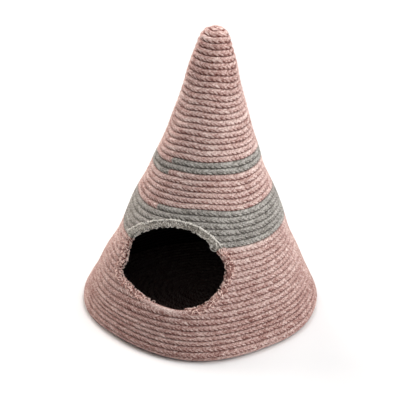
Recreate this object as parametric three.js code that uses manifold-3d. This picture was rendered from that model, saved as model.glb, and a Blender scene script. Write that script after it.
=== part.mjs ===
// Cat teepee: a hollow cone coiled from braided rope, row on row, with two grey bands, an arched
// doorway whose cut edge is overcast with yarn, and a coiled floor.
//
// Millimetres, +Z up. The doorway faces -Y, and the origin is the middle of the floor's underside.
// Azimuths are degrees from -Y, positive towards +X. Rows are counted from the tip down, and a row
// number names the groove under that row.
import * as THREE from "three";
import { mergeVertices } from "three/addons/utils/BufferGeometryUtils.js";
import Module from "manifold-3d";

// Driving dimensions.
const WALL = 10.2; // across the wall, one rope thick, measured level
const GROOVE = 2.2; // depth of the groove between two rows
const CLEARANCE = 0.4; // between neighbouring pieces
const FLOOR_CLEARANCE = 0.8; // between the floor's rim and the wall, whose foot curves in over it
const FLOOR_THICKNESS = 9.6; // one rope
const FLOOR_ROWS = 17; // turns of the floor's coil
const TIP_ROW = -1.5; // the rope's first turn starts here, at the top of the cone
const TIP_SOLID_ROW = 2; // above this row the coil is wound solid
const TIP_OPENING_ROWS = 2; // rows over which the hollow then widens to its full size
const FLOOR_ROW = 54; // lower edge of the last row
const ROW_PITCH = 9.6; // rope rows, measured down the slope
const STEPS = 30; // facets in one turn
const TIP_STEPS = 22; // facets in one turn of the slim upper cone

// The cone's sections: radius at the rope's crests and height above the floor, at a row's groove.
const SECTIONS = [
  { row: TIP_ROW, radius: 0, height: 485.5 },
  { row: 0, radius: 13, height: 481.5 },
  { row: 1, radius: 20.5, height: 474 },
  { row: 3, radius: 27.5, height: 456 },
  { row: 6, radius: 37, height: 428 },
  { row: 10, radius: 46, height: 390 },
  { row: 15, radius: 59, height: 343.5 },
  { row: 21, radius: 78.5, height: 288.5 },
  { row: 27, radius: 100, height: 234 },
  { row: 33, radius: 124.5, height: 181 },
  { row: 39, radius: 144, height: 127 },
  { row: 44, radius: 165, height: 83.5 },
  { row: 48, radius: 179.5, height: 48.5 },
  { row: 51, radius: 190, height: 27 },
  { row: 53, radius: 198, height: 9.5 },
  { row: FLOOR_ROW, radius: 196, height: 0 },
];
const TOP = SECTIONS[0].height;

// What makes the hand-coiled cone uneven. Each reach is at the tip for the lean, at the floor otherwise.
const LEAN = { reach: 20, azimuth: 112, growth: 1.25 };
const LOBES = [
  { count: 2, reach: 6, azimuth: 112, growth: 3 },
  { count: 3, reach: 4.5, azimuth: 49, growth: 3 },
];
const FRONT_BULGE = { reach: 17, azimuth: 12, halfWidth: 47, fromRow: 32, toRow: 51 };
const FRONT_SAG = { drop: 4, fromRow: 26, toRow: 50 };

// Where the hand-wound rows hang lower than level, by how many rows: most beside the doorway's left
// side, a little on both flanks and under the doorway, and less than nothing above its right side.
const ROW_SAGS = [
  { rows: 1.2, azimuth: -48, halfWidth: 42, fromRow: 27, toRow: FLOOR_ROW },
  { rows: 0.5, azimuth: -47, halfWidth: 49, fromRow: 7, toRow: 36 },
  { rows: 0.46, azimuth: 73, halfWidth: 74, fromRow: TIP_ROW, toRow: 26 },
  { rows: 0.7, azimuth: 55, halfWidth: 46, fromRow: 19, toRow: 45 },
  { rows: -0.6, azimuth: 38, halfWidth: 70, fromRow: 23, toRow: 41 },
  { rows: 0.7, azimuth: -27, halfWidth: 64, fromRow: 42, toRow: FLOOR_ROW },
];

// The doorway's clear outline, seen from the front: an egg-shaped oval, a little square and wavy, that
// is drawn out to a blunt corner at its lower left.
const DOORWAY = { x: -1.5, z: 119, halfWidth: 91, rise: 67, drop: 46, squareness: 2.13, steps: 60 };
const DOORWAY_WAVES = [
  { count: 3, size: -0.039, phase: 0.52 },
  { count: 5, size: 0.023, phase: 0.73 },
];
const DOORWAY_CORNER = { size: 0.145, turn: 208.5, halfWidth: 22.5 };

const CUT_OUTSIDE = 30; // how far the cut runs past the crests
const CUT_INSIDE = -35; // and how far it runs in from them

// The overcast edge: its width at the sides, how much wider it is on top, and its gap to the cut wall.
const EDGING = { side: 10, top: 2, clearance: 0.7 };

// Rope in section across one row: how far over the row, and how far in from the crests.
const ROPE_SECTION = [
  { across: 0, inset: GROOVE },
  { across: 0.3, inset: 0 },
  { across: 0.7, inset: 0 },
];

// The edging's bead in section: how far over its width from the opening, and how high above the crests.
const EDGING_SECTION = [
  { across: 0, height: -4.5 },
  { across: 0.12, height: 0 },
  { across: 0.45, height: 1.6 },
  { across: 0.85, height: 0.6 },
  { across: 1, height: -2.5 },
  { across: 1, height: -7.5 },
  { across: 0.75, height: -10.4 },
  { across: 0.25, height: -10 },
];

const PINK = { color: 0xc39b93, roughness: 0.95, metalness: 0 };
const GREY = { color: 0xa39d95, roughness: 0.95, metalness: 0 };

// Rope bands by their upper and lower groove, right of the seam where the rope changes colour. Left of
// it, after a turn, the same grooves lie one row lower. The first band starts above the tip, so that it
// grows out of it, and the last runs a tenth of a turn past the floor, which cuts it level.
const SEAM = -24; // azimuth
const BANDS = [
  { name: "wall_pink_top", from: TIP_ROW - 1.5, to: 21, steps: TIP_STEPS, finish: PINK },
  { name: "wall_grey_narrow", from: 21, to: 23, steps: STEPS, finish: GREY },
  { name: "wall_pink_middle", from: 23, to: 29, steps: STEPS, finish: PINK },
  { name: "wall_grey_wide", from: 29, to: 35, steps: STEPS, finish: GREY, doorway: true },
  { name: "wall_pink_lower", from: 35, to: FLOOR_ROW + 0.1, steps: STEPS, finish: PINK, doorway: true },
];
// The edging changes colour where the groove under this row meets the doorway.
const EDGING_COLOUR_ROW = 35;

// How closely places are worked out, and how near two corners are one.
const WELD = 1e-3;
const HALVINGS = 30;
const SETTLING_PASSES = 12;

const { clamp, degToRad, euclideanModulo, radToDeg, smoothstep } = THREE.MathUtils;

const sectionCurve = new THREE.CubicInterpolant(
  SECTIONS.map(({ row }) => row),
  SECTIONS.flatMap(({ radius, height }) => [radius, height]),
  2,
);

// 1 at the middle of a swelling, falling to 0 at a half width from it, in degrees.
function swelling(angle, middle, halfWidth) {
  const offset = euclideanModulo(angle - middle + 180, 360) - 180;
  return Math.cos((clamp(offset / halfWidth, -1, 1) * Math.PI) / 2) ** 2;
}

// 0 at both ends of a span of rows, rising to 1 halfway.
function arch(row, { fromRow, toRow }) {
  return Math.sin(Math.PI * clamp((row - fromRow) / (toRow - fromRow), 0, 1)) ** 2;
}

// Crest radius and height of the uneven cone at a row and azimuth. Where the rows sag, a row lies
// where a lower one would.
function section(windingRow, azimuth) {
  const row = ROW_SAGS.reduce(
    (sum, sag) =>
      sum + sag.rows * swelling(azimuth, sag.azimuth, sag.halfWidth) * arch(windingRow, sag),
    windingRow,
  );
  const [radius, height] = sectionCurve.evaluate(row);
  const depth = clamp(row / FLOOR_ROW, 0, 1);
  const lobes = LOBES.map(
    ({ count, reach, azimuth: peak, growth }) =>
      reach * depth ** growth * Math.cos(count * degToRad(azimuth - peak)),
  );
  const front = swelling(azimuth, FRONT_BULGE.azimuth, FRONT_BULGE.halfWidth);
  const bulge = FRONT_BULGE.reach * front * smoothstep(row, FRONT_BULGE.fromRow, FRONT_BULGE.toRow);
  const sag = FRONT_SAG.drop * front * arch(row, FRONT_SAG);
  return { radius: radius + bulge + lobes[0] + lobes[1], height: height - sag };
}

// A point at a radius, azimuth and height, moved over with the cone's lean.
function leaningPoint(radius, azimuth, height) {
  const lean = LEAN.reach * Math.max(0, height / TOP) ** LEAN.growth;
  const [turn, leanTurn] = [degToRad(azimuth), degToRad(LEAN.azimuth)];
  return new THREE.Vector3(
    radius * Math.sin(turn) + lean * Math.sin(leanTurn),
    -radius * Math.cos(turn) - lean * Math.cos(leanTurn),
    height,
  );
}

// A point of the wall's outer face, a given inset in from the crests.
function outerPoint(row, azimuth, inset = 0) {
  const { radius, height } = section(row, azimuth);
  return leaningPoint(row <= TIP_ROW ? 0 : radius - inset, azimuth, height);
}

// A point of the wall's inner face, which closes to a point under the solid tip.
function innerPoint(row, azimuth) {
  const { radius, height } = section(Math.max(row, TIP_SOLID_ROW), azimuth);
  const opening = clamp((row - TIP_SOLID_ROW) / TIP_OPENING_ROWS, 0, 1);
  return leaningPoint((radius - WALL) * opening, azimuth, height);
}

// A closed mesh collected face by face. Equal corners are merged, and faces that collapse are dropped.
class Skin {
  corners = [];

  quad(a, b, c, d) {
    this.corners.push(a, b, c, a, c, d);
  }

  fan(hub, rim) {
    for (let i = 0; i + 1 < rim.length; i += 1) {
      this.corners.push(hub, rim[i], rim[i + 1]);
    }
  }

  geometry() {
    const merged = mergeVertices(new THREE.BufferGeometry().setFromPoints(this.corners), WELD);
    const index = merged.index.array;
    const kept = [];
    for (let i = 0; i < index.length; i += 3) {
      const [a, b, c] = index.slice(i, i + 3);
      if (a !== b && b !== c && c !== a) kept.push(a, b, c);
    }
    merged.setIndex(kept);
    return merged;
  }
}

// Rope wound down the cone from one groove to another, as one solid. Step k of the winding is
// k / steps turns from the start, which is at the seam. The groove under a row is the groove over the
// row one turn later, so point (k, last) of one turn is point (k + steps, 0) of the next.
function ropeBand({ from, to, steps }) {
  const count = Math.round((to - from) * steps);
  const halfGap = CLEARANCE / 2 / ROW_PITCH;
  const skin = new Skin();

  // Row and azimuth of a point, with the band's edges and ends drawn in by the clearance.
  const place = (k, across) => {
    const edge = across > 0 ? 0 : Number(k <= steps) - Number(k >= count);
    const row = clamp(from + SEAM / 360 + k / steps + across + edge * halfGap, TIP_ROW, FLOOR_ROW);
    const fade = clamp(Math.min(row - TIP_ROW, FLOOR_ROW - row), 0, 1);
    const end = Number(k === 0) - Number(k === count);
    const endAngle = fade > 0 ? radToDeg((end * fade * CLEARANCE) / section(row, 180).radius) : 0;
    return { row, fade, azimuth: (k / steps) * 360 + SEAM + endAngle };
  };
  const outer = (k, m) => {
    if (m === ROPE_SECTION.length) return outer(k + steps, 0);
    const { row, fade, azimuth } = place(k, ROPE_SECTION[m].across);
    return outerPoint(row, azimuth, ROPE_SECTION[m].inset * fade);
  };
  const inner = (k) => {
    const { row, azimuth } = place(k, 0);
    return innerPoint(row, azimuth);
  };

  for (let k = 0; k < count; k += 1) {
    for (let m = 0; m < ROPE_SECTION.length; m += 1) {
      skin.quad(outer(k, m), outer(k, m + 1), outer(k + 1, m + 1), outer(k + 1, m));
    }
    skin.quad(inner(k), inner(k + 1), inner(k + 1 + steps), inner(k + steps));
  }
  for (let k = 0; k < steps; k += 1) {
    skin.quad(outer(k, 0), outer(k + 1, 0), inner(k + 1), inner(k));
    const low = k + count;
    skin.quad(outer(low, 0), inner(low), inner(low + 1), outer(low + 1, 0));
  }
  const rim = (k) => ROPE_SECTION.map((_, m) => outer(k, m)).concat(outer(k + steps, 0), inner(k + steps));
  skin.fan(inner(0), rim(0).reverse());
  skin.fan(inner(count), rim(count));
  return skin.geometry();
}

// The place between two values where a test turns from true, at the first, to false.
function turningPoint(first, second, test) {
  let [yes, no] = [first, second];
  for (let halving = 0; halving < HALVINGS; halving += 1) {
    const middle = (yes + no) / 2;
    if (test(middle)) yes = middle;
    else no = middle;
  }
  return yes;
}

// Row and azimuth of the wall's crest at a place seen from the front. Each depends a little on the
// other, so they are worked out in turn until they settle.
function wallPlace(x, z) {
  const axis = leaningPoint(0, 0, z).x;
  let [row, azimuth] = [FLOOR_ROW, 0];
  for (let pass = 0; pass < SETTLING_PASSES; pass += 1) {
    row = turningPoint(TIP_ROW, FLOOR_ROW, (guess) => section(guess, azimuth).height > z);
    azimuth = radToDeg(Math.asin((x - axis) / section(row, azimuth).radius));
  }
  return { row, azimuth };
}

// A place on the doorway's outline, widened by part of the edging: 0 at the opening, 1 at the wall.
function doorwayPlace(turn, widen) {
  const [across, up] = [Math.cos(turn), Math.sin(turn)];
  const waves = DOORWAY_WAVES.map(({ count, size, phase }) => size * Math.sin(count * turn + phase));
  const corner = swelling(radToDeg(turn), DOORWAY_CORNER.turn, DOORWAY_CORNER.halfWidth);
  const wave = waves.reduce((sum, size) => sum + size, 1 + DOORWAY_CORNER.size * corner);
  const wider = widen * (EDGING.side + EDGING.top * Math.max(0, up));
  const bent = (share) => Math.sign(share) * Math.abs(share) ** (2 / DOORWAY.squareness);
  const tall = up > 0 ? DOORWAY.rise : DOORWAY.drop;
  return wallPlace(
    DOORWAY.x + (DOORWAY.halfWidth * wave + wider) * bent(across),
    DOORWAY.z + (tall * wave + wider) * bent(up),
  );
}

// A point at a height above the wall's crests, square to the wall.
function aboveWall({ row, azimuth }, height) {
  const [rowStep, azimuthStep] = [0.5, 1];
  const down = outerPoint(row + rowStep, azimuth).sub(outerPoint(row - rowStep, azimuth));
  const round = outerPoint(row, azimuth + azimuthStep).sub(outerPoint(row, azimuth - azimuthStep));
  return outerPoint(row, azimuth).addScaledVector(down.cross(round).normalize(), height);
}

// The block that cuts the doorway, square to the wall all round and running past both its faces, so
// far that its flat-sided ends clear the round wall.
function doorwayCutter() {
  const skin = new Skin();
  const centre = wallPlace(DOORWAY.x, DOORWAY.z);
  const loop = (height) =>
    Array.from({ length: DOORWAY.steps + 1 }, (_, i) =>
      aboveWall(doorwayPlace(((i % DOORWAY.steps) / DOORWAY.steps) * 2 * Math.PI, 1), height),
    );
  const [front, back] = [loop(CUT_OUTSIDE), loop(CUT_INSIDE)];
  skin.fan(aboveWall(centre, CUT_OUTSIDE), front);
  skin.fan(aboveWall(centre, CUT_INSIDE), back.slice().reverse());
  for (let i = 0; i < DOORWAY.steps; i += 1) {
    skin.quad(front[i], back[i], back[i + 1], front[i + 1]);
  }
  return skin.geometry();
}

// A stretch of the doorway's edging between two turns of its outline, with a flat end at each. Between
// them it has its corners where the cut edge of the wall has its own.
function edging(start, end) {
  const skin = new Skin();
  const step = (2 * Math.PI) / DOORWAY.steps;
  const first = Math.floor(start / step) + 1;
  const count = Math.ceil(end / step) - first;
  const turns = [start, ...Array.from({ length: count }, (_, i) => (first + i) * step), end];
  const share = 1 - EDGING.clearance / EDGING.side;
  const rings = turns.map((turn) =>
    EDGING_SECTION.map(({ across, height }) => aboveWall(doorwayPlace(turn, across * share), height)),
  );
  for (let i = 0; i + 1 < rings.length; i += 1) {
    const [here, next] = [rings[i], rings[i + 1]];
    here.forEach((_, m) => {
      const n = (m + 1) % here.length;
      skin.quad(here[m], here[n], next[n], next[m]);
    });
  }
  for (const rim of [rings[0].slice().reverse(), rings.at(-1)]) {
    const middle = rim.reduce((sum, point) => sum.add(point), new THREE.Vector3()).divideScalar(rim.length);
    skin.fan(middle, [...rim, rim[0]]);
  }
  return skin.geometry();
}

// The turn of the doorway's outline, between its side and its top, where a groove of the winding
// meets the middle of the edging.
function grooveTurn(groove, side, top) {
  return turningPoint(side, top, (turn) => {
    const { row, azimuth } = doorwayPlace(turn, 0.5);
    return row - azimuth / 360 > groove;
  });
}

// The coiled floor: flat below, rope turns on top, inside the wall's lowest row.
function floor() {
  const skin = new Skin();
  const turns = Array.from({ length: STEPS + 1 }, (_, k) => ((k % STEPS) / STEPS) * 360 - 180);
  const rimRadius = (azimuth) => section(FLOOR_ROW, azimuth).radius - WALL - FLOOR_CLEARANCE;
  const ring = (share, height) =>
    turns.map((azimuth) => leaningPoint(rimRadius(azimuth) * share, azimuth, 0).setZ(height));
  const rings = [ring(1, 0)];
  for (let turn = 0; turn < FLOOR_ROWS; turn += 1) {
    rings.push(ring(1 - turn / FLOOR_ROWS, FLOOR_THICKNESS - GROOVE));
    rings.push(ring(1 - (turn + 0.5) / FLOOR_ROWS, FLOOR_THICKNESS));
  }
  for (let i = 0; i + 1 < rings.length; i += 1) {
    for (let k = 0; k < STEPS; k += 1) {
      skin.quad(rings[i][k], rings[i][k + 1], rings[i + 1][k + 1], rings[i + 1][k]);
    }
  }
  skin.fan(new THREE.Vector3(0, 0, FLOOR_THICKNESS - GROOVE), rings.at(-1));
  skin.fan(new THREE.Vector3(), rings[0].slice().reverse());
  return skin.geometry();
}

const wasm = await Module();
wasm.setup();

// One closed geometry with another cut out of it.
function cut(geometry, tool) {
  const solid = ({ attributes, index }) =>
    new wasm.Manifold(
      new wasm.Mesh({
        numProp: 3,
        vertProperties: new Float32Array(attributes.position.array),
        triVerts: new Uint32Array(index.array),
      }),
    );
  const { vertProperties, triVerts } = solid(geometry).subtract(solid(tool)).getMesh();
  const result = new THREE.BufferGeometry();
  result.setAttribute("position", new THREE.BufferAttribute(vertProperties, 3));
  result.setIndex(new THREE.BufferAttribute(triVerts, 1));
  return result;
}

function piece(name, geometry, finish) {
  geometry.computeVertexNormals();
  const mesh = new THREE.Mesh(geometry, new THREE.MeshStandardMaterial(finish));
  mesh.name = name;
  return mesh;
}

const teepee = new THREE.Group();
const cutter = doorwayCutter();
for (const band of BANDS) {
  const rope = ropeBand(band);
  teepee.add(piece(band.name, band.doorway ? cut(rope, cutter) : rope, band.finish));
}
teepee.add(piece("floor", floor(), PINK));

const right = grooveTurn(EDGING_COLOUR_ROW, 0, Math.PI / 2);
const left = grooveTurn(EDGING_COLOUR_ROW + 1, Math.PI, Math.PI / 2);
const edgingGap = CLEARANCE / DOORWAY.halfWidth;
teepee.add(piece("door_edge_grey", edging(right, left), GREY));
teepee.add(piece("door_edge_pink", edging(left + edgingGap, right + 2 * Math.PI - edgingGap), PINK));

export default teepee;
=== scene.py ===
# %% [markdown]
# # A cat teepee coiled from braided rope
#
# The real den is one long braided cotton rope, wound into a hollow cone and stitched to itself as it
# goes, with two bands of grey between the pink. An arched doorway is cut in the front, and yarn is
# sewn over the cut edge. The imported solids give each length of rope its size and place. Here every
# row gets its strands, every strand its dye, and the edge its loops of yarn.

import bpy
import numpy as np
from mathutils import Matrix


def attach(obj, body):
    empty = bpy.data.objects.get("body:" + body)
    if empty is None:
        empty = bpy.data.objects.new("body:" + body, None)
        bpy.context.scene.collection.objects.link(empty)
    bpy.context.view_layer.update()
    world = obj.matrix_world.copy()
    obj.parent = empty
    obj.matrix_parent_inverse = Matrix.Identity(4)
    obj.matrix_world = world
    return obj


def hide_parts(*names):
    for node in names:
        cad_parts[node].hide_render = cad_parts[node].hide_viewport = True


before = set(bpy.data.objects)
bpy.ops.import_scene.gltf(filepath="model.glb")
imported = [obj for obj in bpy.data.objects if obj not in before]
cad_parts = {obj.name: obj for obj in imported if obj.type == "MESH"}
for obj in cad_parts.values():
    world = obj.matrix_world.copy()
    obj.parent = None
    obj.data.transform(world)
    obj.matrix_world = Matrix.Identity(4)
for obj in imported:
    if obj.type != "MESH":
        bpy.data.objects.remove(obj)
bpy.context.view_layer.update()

MM = 0.001
print("solids:", ", ".join(sorted(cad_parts)))

# %% [markdown]
# ## Camera
#
# The den is seen from above its right side, nearly two metres away through a long lens. The camera's
# right, up and back directions follow from its azimuth and elevation. A constraint could aim it, but
# its place is simply given in those directions, so that the den fills a square picture as it should.

# %% Camera


def added(name, data):
    """Object made of some data and put into the scene."""
    made = bpy.data.objects.new(name, data)
    bpy.context.scene.collection.objects.link(made)
    return made


AZIMUTH, ELEVATION = np.radians(22.0), np.radians(25.8)
CAMERA_MM = (-4.0, 166.0, 1800.0)  # right, up and back from the origin
LENS_MM = 92.0

right = np.array([np.cos(AZIMUTH), np.sin(AZIMUTH), 0.0])
back = np.array([
    np.sin(AZIMUTH) * np.cos(ELEVATION),
    -np.cos(AZIMUTH) * np.cos(ELEVATION),
    np.sin(ELEVATION),
])
axes = np.column_stack([right, np.cross(back, right), back])
camera = added("camera", bpy.data.cameras.new("camera"))
camera.data.lens = LENS_MM
camera.matrix_world = Matrix(axes.tolist()).to_4x4()
camera.location = (axes @ CAMERA_MM) * MM
bpy.context.scene.camera = camera
print("camera at", [round(c, 3) for c in camera.location])

# %% [markdown]
# ## The cone's shape
#
# A hand-coiled cone isn't a lathe shape: it leans, its foot is a little oval and three-cornered, its
# front bulges and sags under the doorway, and its rows hang lower here than there. Sculpting could do
# it, but then no later piece would know where the wall is. So one function gives the point at a row,
# counted from the tip, and an azimuth, in degrees from the doorway to its right.

# %% Cone sizes, in millimetres
TIP_ROW, FLOOR_ROW = -1.5, 54.0
SECTIONS = np.array([
    # row, radius at the rope's crests, height
    (TIP_ROW, 0.0, 485.5),
    (0.0, 13.0, 481.5),
    (1.0, 20.5, 474.0),
    (3.0, 27.5, 456.0),
    (6.0, 37.0, 428.0),
    (10.0, 46.0, 390.0),
    (15.0, 59.0, 343.5),
    (21.0, 78.5, 288.5),
    (27.0, 100.0, 234.0),
    (33.0, 124.5, 181.0),
    (39.0, 144.0, 127.0),
    (44.0, 165.0, 83.5),
    (48.0, 179.5, 48.5),
    (51.0, 190.0, 27.0),
    (53.0, 198.0, 9.5),
    (FLOOR_ROW, 196.0, 0.0),
])
TOP = SECTIONS[0, 2]
LEAN_REACH, LEAN_AZIMUTH, LEAN_GROWTH = 20.0, 112.0, 1.25
LOBES = [(2, 6.0, 112.0), (3, 4.5, 49.0)]  # how many, reach at the floor, azimuth of one peak
LOBE_GROWTH = 3.0
FRONT_AZIMUTH, FRONT_HALF_WIDTH = 12.0, 47.0
BULGE_REACH, BULGE_ROWS = 17.0, (32.0, 51.0)
SAG_DROP, SAG_ROWS = 4.0, (26.0, 50.0)
ROW_SAGS = [
    # how many rows lower the rows hang, azimuth, half width, first and last row
    (1.2, -48.0, 42.0, 27.0, FLOOR_ROW),
    (0.5, -47.0, 49.0, 7.0, 36.0),
    (0.46, 73.0, 74.0, TIP_ROW, 26.0),
    (0.7, 55.0, 46.0, 19.0, 45.0),
    (-0.6, 38.0, 70.0, 23.0, 41.0),
    (0.7, -27.0, 64.0, 42.0, FLOOR_ROW),
]
print("rows are about", round(TOP / (FLOOR_ROW - TIP_ROW), 1), "mm high")

# %% [markdown]
# ## Gentle steps and curves
#
# Bulges, sags and fades start and end gently on a soft thing, and a few small functions give such
# steps for whole arrays at once. One of Blender's curves could join the section's points, but a cubic
# in numpy needs no object.

# %% Steps and curves


def between(value, low, high):
    """Share of the way from low to high, held to 0..1."""
    return np.clip((value - low) / (high - low), 0.0, 1.0)


def eased(share):
    """A share that starts and ends gently: three times its square less twice its cube."""
    return share * share * (3.0 - 2.0 * share)


def swelling(angle, middle, half_width):
    """Raised cosine over degrees: 1 at the middle, falling to 0 at a half width from it."""
    offset = (angle - middle + 180.0) % 360.0 - 180.0
    return np.cos(np.clip(offset / half_width, -1.0, 1.0) * np.pi / 2) ** 2


def arch(value, low, high):
    """0 at low and at high, and 1 halfway: the squared sine of half a turn over the span."""
    return np.sin(np.pi * between(value, low, high)) ** 2


def smooth_curve(at, knots, values):
    """Cubic through each knot, with the mean of the slopes of the stretches on either side."""
    steps = np.diff(knots)
    chords = np.diff(values) / steps
    slopes = np.concatenate([chords[:1], (chords[:-1] + chords[1:]) / 2, chords[-1:]])
    i = np.clip(np.searchsorted(knots, at, side="right") - 1, 0, len(steps) - 1)
    p = (at - knots[i]) / steps[i]
    bend = steps[i] * p * (1 - p) * (slopes[i] * (1 - p) - slopes[i + 1] * p)
    return values[i] + (values[i + 1] - values[i]) * eased(p) + bend


def unit(vectors):
    """Vectors scaled to length 1."""
    return vectors / np.maximum(np.linalg.norm(vectors, axis=-1, keepdims=True), 1e-9)


print("a quarter of the way eases to", eased(0.25))

# %% [markdown]
# ## Points on the cone
#
# Each point of the rope has a row, an azimuth and a depth in the wall. The depth is square to the
# wall, whose slope comes from points a small step away: that is plainer than a derivative.

# %% Points on the cone
ROW_STEP, AZIMUTH_STEP = 0.4, 1.0  # to the points that give the wall's slope


def crest(row, azimuth):
    """Crest radius and height: the section curve, plus lobes that grow with the cube of the row, plus
    a bulge and less a sag that swell over the front. Where rows hang, a row lies where a lower one
    would."""
    row = np.clip(row, TIP_ROW, FLOOR_ROW)
    row = row + sum(
        rows * swelling(azimuth, middle, half_width) * arch(row, first, last)
        for rows, middle, half_width, first, last in ROW_SAGS
    )
    radius = smooth_curve(row, SECTIONS[:, 0], SECTIONS[:, 1])
    height = smooth_curve(row, SECTIONS[:, 0], SECTIONS[:, 2])
    depth = np.clip(row / FLOOR_ROW, 0.0, 1.0) ** LOBE_GROWTH
    for count, reach, peak in LOBES:
        radius = radius + reach * depth * np.cos(count * np.radians(azimuth - peak))
    front = swelling(azimuth, FRONT_AZIMUTH, FRONT_HALF_WIDTH)
    radius = radius + BULGE_REACH * front * eased(between(row, *BULGE_ROWS))
    height = height - SAG_DROP * front * arch(row, *SAG_ROWS)
    return np.where(row <= TIP_ROW, 0.0, radius), height


def leaning(radius, azimuth, height):
    """Point at a radius and azimuth, moved over by a lean that grows as a power of the height."""
    lean = LEAN_REACH * np.clip(height / TOP, 0.0, 1.0) ** LEAN_GROWTH
    turn, lean_turn = np.radians(azimuth), np.radians(LEAN_AZIMUTH)
    x = radius * np.sin(turn) + lean * np.sin(lean_turn)
    y = -radius * np.cos(turn) - lean * np.cos(lean_turn)
    return np.stack(np.broadcast_arrays(x, y, height), axis=-1)


def crest_point(row, azimuth):
    """Point of the crest surface, in millimetres."""
    radius, height = crest(row, azimuth)
    return leaning(radius, azimuth, height)


def wall_point(row, azimuth, depth):
    """Crest point moved in by a depth, square to the wall: against the cross product of a step down
    the wall and a step round it. Nothing goes below the floor."""
    down = crest_point(row + ROW_STEP, azimuth) - crest_point(row - ROW_STEP, azimuth)
    across = crest_point(row, azimuth + AZIMUTH_STEP) - crest_point(row, azimuth - AZIMUTH_STEP)
    point = crest_point(row, azimuth) - unit(np.cross(down, across)) * np.asarray(depth)[..., None]
    point[..., 2] = np.maximum(point[..., 2], 0.0)
    return point


print("tip at", crest_point(TIP_ROW, 0.0).round(1).tolist(), "mm")

# %% [markdown]
# ## Putting arrays into meshes
#
# Every surface is worked out as arrays of points and faces. One function hands those to Blender with
# foreach_set, which is far quicker than adding faces one by one. It also takes values for each point,
# which the materials read as attributes, and a UV pair for each face corner.

# %% Mesh maker


def add_piece(name, points, quads, triangles, material, values, quad_uv):
    """Mesh object from points in millimetres and faces as rows of indices, shaded smooth, with values
    for each point and a UV pair in millimetres for each corner of a quad."""
    mesh = bpy.data.meshes.new(name)
    corners = np.concatenate([quads.ravel(), triangles.ravel()]).astype(np.int32)
    starts = np.concatenate([np.arange(len(quads)) * 4, quads.size + np.arange(len(triangles)) * 3])
    mesh.vertices.add(len(points))
    mesh.vertices.foreach_set("co", (points * MM).astype(np.float32).ravel())
    mesh.loops.add(len(corners))
    mesh.loops.foreach_set("vertex_index", corners)
    mesh.polygons.add(len(starts))
    mesh.polygons.foreach_set("loop_start", starts.astype(np.int32))
    mesh.polygons.foreach_set("use_smooth", np.ones(len(starts), dtype=bool))
    for label, numbers in values.items():
        attribute = mesh.attributes.new(label, "FLOAT", "POINT")
        attribute.data.foreach_set("value", np.asarray(numbers, dtype=np.float32).ravel())
    uv = np.zeros((len(corners), 2), dtype=np.float32)
    uv[: quads.size] = quad_uv.reshape(-1, 2) * MM
    mesh.uv_layers.new(name="strands").data.foreach_set("uv", uv.ravel())
    mesh.update(calc_edges=True)
    mesh.validate()
    mesh.materials.append(material)
    made = added(name, mesh)
    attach(made, "root")
    print(f"{name}: {len(quads) * 2 + len(triangles)} triangles")
    return made


# %% [markdown]
# ## Finishes
#
# Braided cotton is matt: short fibres scatter light every way, with a faint pale sheen at a grazing
# angle. It is spun from light and dark fibres, so its colour is heathered, and painted shade darkens
# it where strands dive under each other. Photographs of cloth would repeat, so each finish mixes three
# tones by how high the strand stands, which paints that shade, by flecks and fibres along it, and by
# slow changes of dye.

# %% Colours and nodes


def linear(hex_colour):
    """sRGB hex to linear RGBA: each channel below 0.04045 over 12.92, others by the 2.4 power law."""
    srgb = np.array([int(hex_colour[i : i + 2], 16) for i in (1, 3, 5)]) / 255
    rgb = np.where(srgb <= 0.04045, srgb / 12.92, ((srgb + 0.055) / 1.055) ** 2.4)
    return (*rgb.tolist(), 1.0)


def node(tree, kind, inputs, **settings):
    """Adds a shader node with its settings. An input is a value, or the output that is linked to it."""
    made = tree.nodes.new("ShaderNode" + kind)
    for name, value in settings.items():
        setattr(made, name, value)
    for socket, value in inputs.items():
        if isinstance(value, bpy.types.NodeSocket):
            tree.links.new(value, made.inputs[socket])
        else:
            made.inputs[socket].default_value = value
    return made


def noise(tree, vector, sizes, detail):
    """Noise whose grains have these sizes, in millimetres, along the axes of a vector."""
    scale = [1 / (size * MM) for size in sizes]
    mapped = node(tree, "Mapping", {"Vector": vector, "Scale": scale}).outputs[0]
    return node(tree, "TexNoise", {"Vector": mapped, "Scale": 1.0, "Detail": detail}).outputs["Fac"]


print("half-way grey gives", round(linear("#808080")[0], 2), "of white's light")

# %% Braided cotton
FIBRES = 0.9, 7.0, 1.0  # real fibres are far finer, and are drawn this coarse to show
FLECKS = 1.5, 2.1, 1.0  # tufts of darker and paler fibre
BLOTCHES = 45.0, 45.0, 45.0  # over how far the dye changes
SHARES = 0.5, 1.9, 0.3, 0.15  # of the strand's height, which paints shade in its gaps, flecks, fibres and blotches in the tone
TONE_PLACES = 0.12, 0.5, 0.9  # of the dark, middle and light tone on the ramp
FIBRE_RELIEF = 0.5
# near black of the painted shade inside the den
INTERIOR_PAINTED_SHADE = "#040302"


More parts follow.
